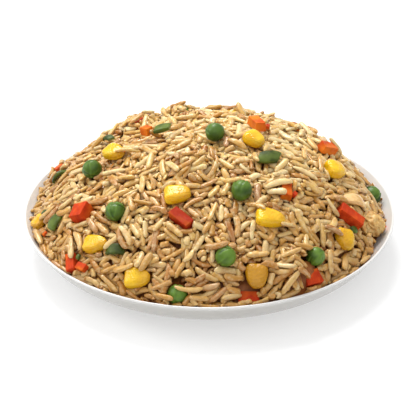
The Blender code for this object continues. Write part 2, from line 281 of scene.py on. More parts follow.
def rice_material():
    m = Nodes("rice_grains")
    tone, painted_shade_depth, tip, ridge_highlight = m.attribute("tone"), m.attribute("painted_shade_depth"), m.attribute("tip"), m.attribute("ridge_highlight")
    at = m.coords()
    base = m.ramp(tone, (
        (0.0, (0.33, 0.102, 0.009)), (0.25, (0.50, 0.218, 0.028)), (0.5, (0.62, 0.345, 0.068)),
        (0.78, (0.72, 0.480, 0.150)), (1.0, (0.80, 0.640, 0.320)),
    ))
    stain = m.span(m.noise(at, 300.0, 3.0, 0.6), 0.47, 0.66)
    base = m.mix(m.math("MULTIPLY", stain, 0.55), base, (0.40, 0.165, 0.024))
    pale = m.span(m.noise(at, 640.0, 3.0, 0.62), 0.50, 0.64)
    base = m.mix(m.math("MULTIPLY", pale, 0.45), base, (0.76, 0.63, 0.38))
    # painted highlight: grains paler along their ridges; some are also paler towards their ends
    edge = m.math("MULTIPLY", m.math("MAXIMUM", ridge_highlight, tip), 0.40)
    base = m.mix(edge, base, (0.85, 0.73, 0.47))
    # painted shade: grains darker the deeper they lie under the heap's smooth top, and on their undersides
    sunk = m.span(painted_shade_depth, 0.3, 2.9, 0.0, 0.94)
    base = m.mix(sunk, base, (0.25, 0.050, 0.004))
    # painted shade: grains darker and browner towards the bottom of the heap
    height = m.new("ShaderNodeSeparateXYZ", {0: at}).outputs[2]
    low = m.span(height, 0.050, 0.018, 0.0, 0.42)
    base = m.mix(low, base, (0.38, 0.155, 0.020))
    dents = m.bump(m.noise(at, 520.0, 1.0, 0.4), 0.35, 0.0005)
    m.set(Base_Color=base, Roughness=m.span(m.noise(at, 700.0, 2.0), 0.3, 0.7, 0.24, 0.40),
          Normal=m.bump(m.noise(at, 1700.0, 2.0, 0.5), 0.25, 0.0002, dents))
    m.set(Subsurface_Weight=0.14, Specular_IOR_Level=0.52, Coat_Weight=0.20, Coat_Roughness=0.14)
    m.set(Specular_Tint=(1.0, 0.88, 0.66, 1.0))
    skin_radius(m.shader, 0.0012, (1.0, 0.5, 0.18))
    return m.material


def core_material():
    m = Nodes("rice_core")
    at = m.coords()
    # the core stands for the rice under the grains; its dark brown is partly browned rice and partly painted shade of
    # the gaps between the grains
    base = m.ramp(m.noise(at, 260.0, 4.0), ((0.3, (0.18, 0.040, 0.004)), (0.7, (0.38, 0.130, 0.020))))
    m.set(Base_Color=base, Roughness=0.6, Normal=m.bump(m.noise(at, 500.0, 3.0), 0.6, 0.0008))
    return m.material


def glaze_material():
    m = Nodes("white_glaze_detail")
    at = m.coords()
    base = m.mix(m.span(m.noise(at, 35.0, 2.0), 0.35, 0.65), (0.70, 0.69, 0.67), (0.74, 0.73, 0.71))
    # painted shade: the outer wall and underside are painted darker grey
    base = m.mix(m.attribute("outer_wall_painted_shade"), base, (0.47, 0.455, 0.425))
    m.set(Base_Color=base, Roughness=m.span(m.noise(at, 60.0, 2.0), 0.3, 0.7, 0.16, 0.24),
          Normal=m.bump(m.noise(at, 80.0, 2.0), 0.05, 0.0004))
    m.set(Coat_Weight=0.3, Coat_Roughness=0.06, Specular_IOR_Level=0.5)
    return m.material


def pea_material():
    m = Nodes("pea_skin")
    at, shade = m.coords(), m.attribute("shade")
    base = m.ramp(m.noise(at, 190.0, 3.0, 0.5), (
        (0.28, (0.022, 0.056, 0.005)), (0.5, (0.050, 0.112, 0.008)), (0.74, (0.110, 0.205, 0.020)),
    ))
    # the shade attribute carries painted light on the peas: lighter on top and along fold ridges, darker in fold
    # grooves, on top of random tone
    base = m.mix(m.span(shade, 0.1, 1.0, 0.0, 0.65), base, (0.165, 0.300, 0.035))
    # painted shade: the dark attribute darkens peas that lie in shade
    base = m.mix(m.attribute("dark"), base, (0.016, 0.040, 0.005))
    fleck = m.span(m.noise(at, 1500.0, 2.0), 0.6, 0.72)
    base = m.mix(m.math("MULTIPLY", fleck, 0.22), base, (0.18, 0.30, 0.06))
    m.set(Base_Color=base, Roughness=m.span(m.noise(at, 600.0, 2.0), 0.3, 0.7, 0.28, 0.42),
          Normal=m.bump(m.noise(at, 1300.0, 3.0), 0.18, 0.0002))
    m.set(Subsurface_Weight=0.04, Specular_IOR_Level=0.30)
    skin_radius(m.shader, 0.0010, (0.5, 1.0, 0.25))
    return m.material


def corn_material():
    m = Nodes("corn_kernel")
    at, tip, shade = m.coords(), m.attribute("tip"), m.attribute("shade")
    base = m.ramp(m.noise(at, 150.0, 2.0, 0.5), (
        (0.3, (0.78, 0.37, 0.003)), (0.7, (0.88, 0.54, 0.005)),
    ))
    base = m.mix(m.span(tip, 0.15, 1.0, 0.0, 0.75), base, (0.56, 0.26, 0.012))
    base = m.mix(m.span(shade, 0.2, 1.0, 0.0, 0.45), base, (0.95, 0.70, 0.035))
    # painted shade: the dark attribute darkens kernels that lie in shade
    base = m.mix(m.attribute("dark"), base, (0.46, 0.205, 0.006))
    creases = m.noise(m.new("ShaderNodeMapping", {"Vector": at, "Scale": (1.0, 1.0, 2.4)}).outputs[0], 640.0, 2.0, 0.5)
    m.set(Base_Color=base, Roughness=m.span(m.noise(at, 500.0, 2.0), 0.3, 0.7, 0.12, 0.24),
          Normal=m.bump(creases, 0.75, 0.0006))
    m.set(Subsurface_Weight=0.10, Specular_IOR_Level=0.36, Coat_Weight=0.08, Coat_Roughness=0.06)
    skin_radius(m.shader, 0.0016, (1.0, 0.6, 0.06))
    return m.material


def carrot_material():
    m = Nodes("carrot_flesh")
    at, shade = m.coords(), m.attribute("shade")
    fibre = m.new("ShaderNodeMapping", {"Vector": at, "Scale": (1.0, 0.35, 1.0)}).outputs[0]
    base = m.ramp(m.noise(fibre, 420.0, 3.0, 0.6), (
        (0.3, (0.42, 0.032, 0.008)), (0.55, (0.56, 0.055, 0.010)), (0.78, (0.70, 0.110, 0.016)),
    ))
    # painted shade: the dark attribute darkens dice that lie in shade
    base = m.mix(m.attribute("dark"), base, (0.27, 0.013, 0.004))
    base = m.mix(m.span(shade, 0.35, 1.1, 0.0, 0.9), base, (0.80, 0.225, 0.018))
    m.set(Base_Color=base, Roughness=m.span(m.noise(at, 500.0, 2.0), 0.3, 0.7, 0.42, 0.58),
          Normal=m.bump(m.noise(fibre, 900.0, 3.0), 0.4, 0.0003))
    m.set(Subsurface_Weight=0.05, Specular_IOR_Level=0.08)
    skin_radius(m.shader, 0.0018, (1.0, 0.3, 0.08))
    return m.material


def green_material():
    m = Nodes("green_stalk")
    at, tip, shade = m.coords(), m.attribute("tip"), m.attribute("shade")
    base = m.ramp(m.noise(at, 330.0, 3.0, 0.6), (
        (0.3, (0.020, 0.034, 0.004)), (0.55, (0.052, 0.076, 0.009)), (0.8, (0.115, 0.150, 0.018)),
    ))
    base = m.mix(m.span(shade, 0.3, 1.0, 0.0, 0.6), base, (0.150, 0.215, 0.026))
    base = m.mix(m.span(tip, 0.72, 1.0, 0.0, 0.5), base, (0.27, 0.32, 0.085))
    m.set(Base_Color=base, Roughness=m.span(m.noise(at, 500.0, 2.0), 0.3, 0.7, 0.32, 0.48),
          Normal=m.bump(m.noise(at, 1400.0, 3.0), 0.35, 0.00025))
    m.set(Subsurface_Weight=0.05, Specular_IOR_Level=0.24)
    skin_radius(m.shader, 0.0010, (0.6, 1.0, 0.3))
    return m.material


def onion_material():
    m = Nodes("soft_onion")
    at = m.coords()
    base = m.ramp(m.noise(at, 260.0, 3.0), ((0.3, (0.62, 0.34, 0.10)), (0.75, (0.84, 0.60, 0.28))))
    m.set(Base_Color=base, Roughness=m.span(m.noise(at, 500.0, 2.0), 0.3, 0.7, 0.24, 0.36),
          Normal=m.bump(m.noise(at, 700.0, 3.0), 0.3, 0.0003))
    m.set(Subsurface_Weight=0.4, Specular_IOR_Level=0.5)
    skin_radius(m.shader, 0.0020, (1.0, 0.7, 0.35))
    return m.material


def egg_material():
    m = Nodes("soft_egg")
    at = m.coords()
    base = m.ramp(m.noise(at, 340.0, 4.0, 0.6), (
        (0.3, (0.44, 0.21, 0.045)), (0.5, (0.64, 0.39, 0.125)), (0.75, (0.80, 0.58, 0.26)),
    ))
    m.set(Base_Color=base, Roughness=m.span(m.noise(at, 500.0, 2.0), 0.3, 0.7, 0.40, 0.60),
          Normal=m.bump(m.noise(at, 900.0, 4.0), 0.5, 0.0004))
    m.set(Subsurface_Weight=0.25, Specular_IOR_Level=0.4)
    skin_radius(m.shader, 0.0018, (1.0, 0.6, 0.25))
    return m.material


RICE, CORE, GLAZE = rice_material(), core_material(), glaze_material()
LOOKS = {
    "pea": (pea_material(), "pea_green"), "corn": (corn_material(), "corn_yellow"),
    "carrot": (carrot_material(), "carrot_orange"), "green": (green_material(), "stalk_green"),
    "onion": (onion_material(), "onion_pale"), "egg": (egg_material(), "egg_cream"),
}


# ---------------------------------------------------------------- mesh helpers
def build_object(name, verts, faces, material, attributes=None, uvs=None):
    """A smooth mesh object from arrays in mm: faces is an (n, 4) or (n, 3) array."""
    mesh = bpy.data.meshes.new(name)
    verts = np.asarray(verts, np.float32) * MM
    faces = np.asarray(faces, np.int32)
    mesh.vertices.add(len(verts))
    mesh.vertices.foreach_set("co", verts.ravel())
    sides = faces.shape[1]
    mesh.loops.add(faces.size)
    mesh.loops.foreach_set("vertex_index", faces.ravel())
    mesh.polygons.add(len(faces))
    mesh.polygons.foreach_set("loop_start", np.arange(0, faces.size, sides, dtype=np.int32))
    mesh.update(calc_edges=True)
    mesh.shade_smooth()
    for key, values in (attributes or {}).items():
        layer = mesh.attributes.new(key, "FLOAT", "POINT")
        layer.data.foreach_set("value", np.asarray(values, np.float32))
    if uvs is not None:
        layer = mesh.uv_layers.new(name="OFBake")
        layer.data.foreach_set("uv", np.asarray(uvs, np.float32).ravel())
    mesh.materials.append(material)
    made = bpy.data.objects.new(name, mesh)
    bpy.context.scene.collection.objects.link(made)
    return made


def tube_faces(rings, around, first=0):
    """Quads of a tube of rings, closed round each ring; the end rings are left open."""
    i, k = np.meshgrid(np.arange(rings - 1), np.arange(around), indexing="ij")
    a = i * around + k
    b = i * around + (k + 1) % around
    return np.stack([a, a + around, b + around, b], -1).reshape(-1, 4) + first


def ball_directions(rings, around):
    """Unit directions of a ball's rings from pole to pole along X, and their quads."""
    u = np.linspace(0, 1, rings)
    angle = math.pi * (u + 0.0)
    angle[0], angle[-1] = 0.004, math.pi - 0.004
    turn = 2 * math.pi * np.arange(around) / around
    x = -np.cos(angle)[:, None] * np.ones(around)
    r = np.sin(angle)[:, None]
    return np.stack([x, r * np.cos(turn), r * np.sin(turn)], -1).reshape(-1, 3), tube_faces(rings, around)


def closed_faces(faces, rings, around):
    """Adds flat end caps as quads of the pinched end rings."""
    caps = []
    last = (rings - 1) * around
    half = around // 2
    for k in range(half - 1):
        caps.append((k, k + 1, around - 2 - k, around - 1 - k))
        caps.append((last + around - 1 - k, last + around - 2 - k, last + k + 1, last + k))
    return np.vstack([faces, np.array(caps, np.int32)])


def lumpy(points, scale, seed):
    return np.array([noise.noise(Vector((p[0] * scale + seed, p[1] * scale, p[2] * scale))) for p in points])


def place(verts, matrix):
    m = np.array(matrix)
    return verts @ m[:3, :3].T + m[:3, 3]


# ---------------------------------------------------------------- toppings
def pea_shape(radius, seed):
    rings, around = 36, 48
    unit, faces = ball_directions(rings, around)
    azimuth = np.arctan2(unit[:, 1], unit[:, 0])
    swell = 1 + 0.02 * np.sin(3 * azimuth + seed) * (1 - unit[:, 2] ** 2)
    swell = swell + 0.030 * lumpy(unit, 1.3, seed * 3.1) + 0.010 * lumpy(unit, 3.4, seed * 5.3)
    aim = np.array([0.8, 0.3, 0.52])
    swell -= 0.05 * np.maximum(0, unit @ aim) ** 8
    rng = random.Random(int(seed * 100))
    fold_painted_light_and_shade = np.zeros(len(unit))
    for _ in range(4):  # shallow folds of the skin
        pole = np.array([rng.gauss(0, 1) for _ in range(3)])
        pole /= np.linalg.norm(pole)
        start = np.array([rng.gauss(0, 1) for _ in range(3)])
        start /= np.linalg.norm(start)
        off = unit @ pole - rng.uniform(-0.4, 0.4)
        near = np.clip((unit @ start - 0.1) * 2.2, 0, 1)
        swell -= 0.060 * near * np.exp(-((off / 0.08) ** 2))
        swell += 0.045 * near * np.exp(-(((off - 0.17) / 0.10) ** 2))
        # painted highlight along each fold's ridge, painted shade in its groove
        fold_painted_light_and_shade += near * (0.75 * np.exp(-(((off - 0.17) / 0.09) ** 2)) - 0.6 * np.exp(-((off / 0.09) ** 2)))
    verts = unit * (radius * swell)[:, None] * np.array([1, 0.97, 0.95])
    # painted light: the top of each pea lighter
    shade = np.clip(0.40 + 0.8 * lumpy(unit, 1.1, seed * 7.7) + 0.30 * unit[:, 2] + fold_painted_light_and_shade, 0, 1)
    return verts, closed_faces(faces, rings, around), {"shade": shade, "tip": shade * 0}


def corn_shape(length, width, thickness, seed):
    rings, around = 38, 48
    unit, faces = ball_directions(rings, around)
    along = np.sign(unit[:, 0]) * np.abs(unit[:, 0]) ** 0.74
    to_tip = (along + 1) / 2
    narrow = 1 - 0.34 * to_tip**1.8
    dent = 0.13 * np.maximum(0, -along) ** 3 * (1 - np.abs(unit[:, 1])) ** 0.7
    y = np.sign(unit[:, 1]) * np.abs(unit[:, 1]) ** 0.66
    z = np.sign(unit[:, 2]) * np.abs(unit[:, 2]) ** 0.70
    verts = np.stack([
        (along + dent) * length / 2, y * narrow * width / 2, z * (1 - 0.2 * to_tip) * thickness / 2
    ], -1)
    wave = 1 + 0.035 * lumpy(unit, 1.5, seed * 2.3) + 0.012 * lumpy(unit, 4.5, seed)
    folds = 0.014 * np.sin(9 * np.arctan2(unit[:, 2], unit[:, 1]) + seed) * np.clip(to_tip * 1.6 - 0.7, 0, 1)
    verts *= (wave + folds)[:, None]
    # a soft hollow down the middle of the broad face
    verts[:, 2] -= np.sign(unit[:, 2]) * 0.32 * np.exp(-((unit[:, 1] / 0.30) ** 2)) * np.clip(1 - to_tip * 1.1, 0, 1) * np.abs(unit[:, 2])
    shade = np.clip(0.5 + 0.8 * lumpy(unit, 1.2, seed * 3.9), 0, 1)
    return verts, closed_faces(faces, rings, around), {"shade": shade, "tip": to_tip**1.5}


def box_grid(n):
    """Points of a cube's surface from -1 to 1, n cells a side, joined along its edges."""
    index, points, faces = {}, [], []

    def at(key):
        if key not in index:
            index[key] = len(points)
            points.append(key)
        return index[key]

    for axis in range(3):
        for end in (0, n):
            for i in range(n):
                for j in range(n):
                    quad = []
                    for u, v in ((i, j), (i + 1, j), (i + 1, j + 1), (i, j + 1)):
                        key = [0, 0, 0]
                        key[axis], key[(axis + 1) % 3], key[(axis + 2) % 3] = end, u, v
                        quad.append(at(tuple(key)))
                    faces.append(quad if end else quad[::-1])
    return np.array(points, float) * 2 / n - 1, np.array(faces, np.int32)


def dice_shape(length, width, thickness, seed):
    cut = random.Random(seed)
    corners = {}
    for sx in (-1, 1):
        for sy in (-1, 1):
            for sz in (-1, 1):
                uneven = [1 + cut.uniform(-0.17, 0.04) for _ in range(3)]
                corners[sx, sy, sz] = np.array([sx * length * uneven[0], sy * width * uneven[1], sz * thickness * uneven[2]]) / 2
    grid, faces = box_grid(14)
    # cells gather near the edges, where the rounding is
    grid = np.sign(grid) * (1 - (1 - np.abs(grid)) ** 1.35)
    verts = np.zeros_like(grid)
    for (sx, sy, sz), corner in corners.items():
        weight = (1 + sx * grid[:, 0]) * (1 + sy * grid[:, 1]) * (1 + sz * grid[:, 2]) / 8
        verts += weight[:, None] * corner
    half = np.array([length, width, thickness]) / 2
    round_by = 0.55
    inner = np.clip(verts, -(half - round_by), half - round_by)
    out = verts - inner
    long = np.linalg.norm(out, axis=1)
    over = long > round_by
    verts[over] = inner[over] + out[over] / long[over][:, None] * round_by
    outward = verts / half
    outward /= np.linalg.norm(outward, axis=1)[:, None]
    verts -= outward * (0.10 + 0.20 * lumpy(verts, 0.45, seed * 2.7) + 0.09 * lumpy(verts, 1.6, seed))[:, None]
    shade = np.clip(0.35 + 1.0 * lumpy(verts, 0.16, seed * 4.1), 0, 1)
    return verts, faces, {"shade": shade, "tip": shade * 0}


def bent_shape(length, width, thickness, bend, seed, slant=0.0, ribs=0.05):
    rings, around = 34, 36
    half = math.radians(bend) / 2
    arc = length / (2 * half)
    t = np.linspace(-1, 1, rings)
    t = np.sign(t) * (1 - (1 - np.abs(t)) ** 1.3)
    turn = 2 * math.pi * np.arange(around) / around
    u = np.sign(np.cos(turn)) * np.abs(np.cos(turn)) ** 0.45
    v = np.sign(np.sin(turn)) * np.abs(np.sin(turn)) ** 0.75
    T, U = np.meshgrid(t, u, indexing="ij")
    _, V = np.meshgrid(t, v, indexing="ij")
    close = np.clip((1 - np.abs(T)) / 0.05, 0, 1) ** 0.5
    wide = width / 2 * (1 - 0.28 * T * T) * (0.9 + 0.1 * close)
    deep = thickness / 2 * (1 - 0.25 * T * T) * np.maximum(close, 0.02)
    rib = 1 + ribs * np.sin(U * 9 + seed) * close
    shift = half * T + slant * U * wide / arc
    deep = deep * rib
    curl = 0.10 * np.sin(2.2 * U + seed) * thickness
    x = arc * np.sin(shift) + deep * V * np.sin(shift)
    z = arc * (np.cos(shift) - math.cos(half) * 0.5 - 0.5) + deep * V * np.cos(shift) + curl * np.cos(shift)
    verts = np.stack([x, U * wide, z], -1).reshape(-1, 3)
    verts += 0.12 * np.stack([lumpy(verts, 0.5, seed + k * 11.3) for k in range(3)], -1)
    faces = closed_faces(tube_faces(rings, around), rings, around)
    tip = np.maximum(np.abs(T) ** 6, (np.abs(U) ** 9) * 0.7).reshape(-1)
    shade = np.clip(0.45 + 0.9 * lumpy(verts, 0.2, seed * 4.1), 0, 1)
    return verts, faces, {"shade": shade, "tip": tip}


def lump_shape(length, width, height, seed):
    rings, around = 56, 64
    unit, faces = ball_directions(rings, around)
    swell = 1 + 0.14 * lumpy(unit, 1.7, seed) + 0.15 * lumpy(unit, 3.1, seed + 4) + 0.13 * lumpy(unit, 6.0, seed + 9) + 0.05 * lumpy(unit, 11.0, seed + 2)
    ridged = 1 - np.abs(lumpy(unit, 2.4, seed + 21))
    swell = swell * (0.93 + 0.10 * ridged)
    verts = unit * swell[:, None] * np.array([length, width, height]) / 2
    shade = np.clip(0.5 + lumpy(unit, 2.0, seed * 3), 0, 1)
    return verts, closed_faces(faces, rings, around), {"shade": shade, "tip": shade * 0}


TOPPINGS = []  # (name, verts in mm, faces)


def add_topping(kind, name, verts, faces, attributes, node=None):
    look, slot = LOOKS[kind]
    made = build_object(name, verts, faces, look, attributes)
    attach(made, "root")
    if node:
        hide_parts(node)
    TOPPINGS.append((name, verts, faces))
    return made


def shape_of(kind, row, number):
    if kind == "pea":
        return pea_shape(row[4], number * 1.7)
    if kind == "corn":
        return corn_shape(*row[4:7], number * 1.7)
    if kind == "carrot":
        return dice_shape(*row[4:7], number * 1.7)
    if kind == "green":
        slant = 0.55 if number in (3, 4) else 0.12
        return bent_shape(*row[4:8], number * 1.7, slant)
    if kind == "onion":
        return bent_shape(*row[4:8], number * 1.7, 0.1, 0.12)
    return lump_shape(*row[4:7], number * 1.7)


# how far single pieces go towards their dark tone, which is painted shade for pieces that lie in shade, such as
# corn_05 and carrot_04
DARK = {
    ("corn", 5): 0.92, ("corn", 9): 0.34, ("corn", 6): 0.18, ("corn", 7): 0.18, ("corn", 8): 0.12, ("corn", 1): 0.10,
    ("carrot", 4): 0.68, ("carrot", 10): 0.25, ("carrot", 9): 0.15, ("carrot", 8): 0.05, ("carrot", 7): 0.0,
    ("pea", 1): 0.30, ("pea", 2): 0.32, ("pea", 3): 0.22, ("pea", 4): 0.25, ("pea", 5): 0.22, ("pea", 6): 0.05,
}
for kind, rows in (("pea", PEAS), ("corn", CORN), ("carrot", CARROTS), ("green", GREENS), ("onion", ONIONS), ("egg", EGGS)):
    for number, row in enumerate(rows, 1):
        verts, faces, attributes = shape_of(kind, row, number)
        if kind == "carrot":
            attributes["shade"] = attributes["shade"] + (0.45 if number in (1, 3, 5, 6, 7, 13, 15) else -0.15)
        dark = DARK.get((kind, number), 0.10 if kind == "pea" else 0.0)
        attributes["dark"] = np.full(len(verts), dark)
        if (kind, number) in (("green", 3), ("green", 5), ("green", 7)):
            attributes["shade"] = attributes["shade"] + 0.35
        node = f"{kind}_{number:02d}"
        add_topping(kind, f"{node}_detail", place(verts, seat(*row[:4])), faces, attributes, node)

bits = {}
for number, (kind, angle, radius, lift, spin, across) in enumerate(BITS, 1):
    x, y = radius * math.cos(math.radians(angle)), radius * math.sin(math.radians(angle))
    up = heap_height(x, y) - RIM_HEIGHT + lift
    if kind == "carrot":
        shape = dice_shape(across, across * 0.7, across * 0.6, 31 + number)
    else:
        shape = bent_shape(across, across * 0.8, 1.3, 60, 31 + number, 0.2)
    shape[2]["dark"] = np.full(len(shape[0]), 0.1)
    bits.setdefault(kind, []).append((place(shape[0], seat(angle, radius, up, spin)), shape[1], shape[2]))
for kind, group in bits.items():
    offset, all_verts, all_faces, all_attributes = 0, [], [], {"shade": [], "tip": [], "dark": []}
    for verts, faces, attributes in group:
        all_verts.append(verts)
        all_faces.append(faces + offset)
        offset += len(verts)
        for key in all_attributes:
            all_attributes[key].append(attributes[key])
    add_topping(kind, f"{kind}_bits", np.vstack(all_verts), np.vstack(all_faces), {k: np.concatenate(v) for k, v in all_attributes.items()})


# ---------------------------------------------------------------- plate
def turned_profile():
    points = [(0.02, WELL_TOP)]
    for radius in np.linspace(8, WELL_RADIUS_IN, 6):
        points.append((radius, WELL_TOP))
    for radius in np.linspace(WELL_RADIUS_IN + 1.5, 80.9, 26):
        points.append((radius, inner_height(radius)))
    points += [(81.25, RIM_HEIGHT - 0.38), (81.45, RIM_HEIGHT - 0.14), (81.75, RIM_HEIGHT - 0.02), (82.05, RIM_HEIGHT),
               (82.28, RIM_HEIGHT - 0.10), (82.44, RIM_HEIGHT - 0.34), (82.5, RIM_HEIGHT - 0.75)]
    for radius in np.linspace(82.3, 51.5, 30):
        points.append((radius, outer_height(radius) - 0.5 * max(0.0, (radius - 80.5) / 2.0)))
    points += [(50.9, WELL_UNDER - 0.02), (50.4, 1.9), (50.0, 1.0), (49.8, 0.3), (FOOT_OUTER, 0.05), (49.3, 0.0), (47.1, 0.0),
               (FOOT_INNER, 0.06), (46.6, 0.5), (46.2, 1.6), (45.4, FOOT_DEPTH), (30.0, FOOT_DEPTH), (10.0, FOOT_DEPTH), (0.02, FOOT_DEPTH)]
    return np.array(points)


profile = turned_profile()
around = 160
turn = 2 * math.pi * np.arange(around) / around
verts = np.stack([profile[:, 0][:, None] * np.cos(turn), profile[:, 0][:, None] * np.sin(turn),
                  np.repeat(profile[:, 1][:, None], around, 1)], -1).reshape(-1, 3)
faces = tube_faces(len(profile), around)[:, ::-1]
caps = closed_faces(tube_faces(len(profile), around), len(profile), around)[len(faces):]
# painted shade mask: the outer wall and underside, which face away from the light
outer_wall_painted_shade = np.zeros(len(profile))
outer_wall_painted_shade[(profile[:, 1] < RIM_HEIGHT - 1.2) & (np.arange(len(profile)) > 38)] = 1.0
plate = build_object("plate_detail", verts, np.vstack([faces, caps[:, ::-1]]), GLAZE, {"outer_wall_painted_shade": np.repeat(outer_wall_painted_shade, around)})
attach(plate, "root")
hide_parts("plate")


# ---------------------------------------------------------------- grains of rice
CELL = 0.5
REACH = 84.0
N = int(2 * REACH / CELL) + 1
axis = np.linspace(-REACH, REACH, N)
GX, GY = np.meshgrid(axis, axis, indexing="ij")
radius_map = np.hypot(GX, GY)
turn_map = np.arctan2(GY, GX)
edge_map = (HEAP_EDGE - HEAP_EDGE_OVAL * np.cos(2 * turn_map) - 0.5 * np.cos(turn_map)
            + 0.45 * np.sin(5 * turn_map + 0.6) + 0.35 * np.sin(11 * turn_map + 2.1) - 0.3)
plate_map = WELL_TOP + (RIM_HEIGHT - 0.4 - WELL_TOP) * (
    np.clip(radius_map - WELL_RADIUS_IN, 0, None) / (RIM_RADIUS - RIM_LAND - WELL_RADIUS_IN)) ** FLARE_IN
inside = radius_map < edge_map + 0.3
# the smooth height is worked out on every second cell and filled in between
coarse = axis[::2]
small = np.array([[heap_height(x, y) if math.hypot(x, y) < 83 else 0.0 for y in coarse] for x in coarse])
full = np.zeros((N, N))
full[::2, ::2] = small
full[1::2, ::2] = (small[:-1] + small[1:]) / 2
full[:, 1::2] = (full[:, :-2:2] + full[:, 2::2]) / 2
full = np.maximum(full, plate_map + 2.3)
# the grains end a little under the outline, more so along the crest at the back
brim = np.clip((radius_map - 50.0) / 22.0, 0, 1)
brim *= np.clip((GY + 22.0) / 30.0, 0, 1)
sink = 2.1 - 1.1 * brim + 2.4 * np.exp(-((GX + 16) ** 2 + (GY - 30) ** 2) / 450) + 3.0 * np.exp(-(((GY - 16) / 20) ** 2)) * (1 - brim) * np.clip(1.1 - (radius_map / 58.0) ** 4, 0, 1)
full = np.where(inside, np.maximum(full - sink, plate_map + 2.3), full)
CORE_DEPTH = 6.4
blocked = np.zeros((N, N), bool)
topping_top = np.full((N, N), -99.0)
# where a topping stands out over the rice, its underside is a roof that grains may lie under
roof = np.full((N, N), 99.0)
standing = np.full((N, N), -99.0)
# cells before these toppings stay a little lower, with nothing loose on them
OPEN_TO_VIEW = ("corn_01", "corn_02", "corn_03", "corn_04", "corn_05", "corn_06", "corn_07", "corn_08", "corn_09", "corn_10", "pea_01", "pea_02", "pea_03", "pea_04", "pea_05",
                "carrot_01", "carrot_03", "carrot_05", "carrot_06", "carrot_07", "carrot_08", "carrot_10", "carrot_11",
                "green_01", "green_02", "green_03", "green_04", "green_05")
open_cells = np.zeros((N, N), bool)
# grains lie over most of these, in a low mound
mound = np.full((N, N), -99.0)
HALF_BURIED = ("egg", "pea_10", "corn_12", "carrot_14")
for name, verts, faces in TOPPINGS:
    tree = BVHTree.FromPolygons([Vector(v) for v in verts], [tuple(f) for f in faces.tolist()])
    low, high = verts.min(0), verts.max(0)
    i0, i1 = int((low[0] + REACH) / CELL), int((high[0] + REACH) / CELL) + 2
    j0, j1 = int((low[1] + REACH) / CELL), int((high[1] + REACH) / CELL) + 2
    for i in range(i0, min(i1, N)):
        for j in range(j0, min(j1, N)):
            hit = tree.ray_cast(Vector((axis[i], axis[j], high[2] + 5)), Vector((0, 0, -1)))
            if hit[0] is None:
                continue
            if name.startswith(HALF_BURIED):
                topping_top[i, j] = max(topping_top[i, j], hit[0].z - (2.0 if name.startswith("egg_01") else 1.5))
                if not name.startswith("egg_01"):
                    mound[i, j] = max(mound[i, j], hit[0].z + 0.3)
                continue
            standing[i, j] = max(standing[i, j], hit[0].z)
            if name.startswith(OPEN_TO_VIEW):
                open_cells[i, max(0, j - 15):j] = True
            under = tree.ray_cast(Vector((axis[i], axis[j], low[2] - 5)), Vector((0, 0, 1)))
            if under[0] is not None and under[0].z > full[i, j] - 1.3:
                roof[i, j] = min(roof[i, j], under[0].z)
            else:
                blocked[i, j] = True
                topping_top[i, j] = max(topping_top[i, j], hit[0].z)
# distance to the nearest topping, spread outwards cell by cell: the core comes nearer the top there
for _ in range(14):
    mound = np.maximum.reduce([mound] + [np.roll(mound, step, (0, 1)) - 0.30 for step in ((1, 0), (-1, 0), (0, 1), (0, -1))])
full = np.where(inside & (mound > full), mound, full)
near = np.where(blocked | (roof < 90), 0.0, 99.0)
for _ in range(12):
    grown = near.copy()
    for di, dj in ((1, 0), (-1, 0), (0, 1), (0, -1), (1, 1), (1, -1), (-1, 1), (-1, -1)):
        step = CELL * math.hypot(di, dj)
        grown = np.minimum(grown, np.roll(near, (di, dj), (0, 1)) + step)
    near = grown
full = np.where(inside & open_cells, np.maximum(full - 0.4, plate_map + 2.3), full)
# the rice is heaped a little round each topping
full = np.where(inside & ~open_cells, full + 0.7 * np.exp(-((near / 3.0) ** 2)), full)
target = np.where(inside, np.minimum(full, roof + 0.4), -99.0)
core_depth = np.minimum(CORE_DEPTH, 3.6 + 0.75 * near)
core_map = np.where(inside, np.maximum(full - core_depth, plate_map + 0.15), plate_map)
field = np.maximum(core_map, topping_top)
field[radius_map > 81.0] = 60.0
floor_map = field.copy()

grad_x = np.gradient(full, CELL, axis=0)
grad_y = np.gradient(full, CELL, axis=1)

rng = np.random.default_rng(20811)
ALONG = np.linspace(-0.94, 0.94, 9)
ACROSS = np.array([-0.40, 0.0, 0.40])
UNDER = np.sqrt(1 - np.abs(ALONG) ** 4)[None, :, None] * np.array([0.60, 1.0, 0.60])[None, None, :]
LEFT, RIGHT = [a.ravel() for a in np.meshgrid(np.arange(4), np.arange(5, 9), indexing="ij")]
MIDDLE = 4
grains = []
keep_open = False


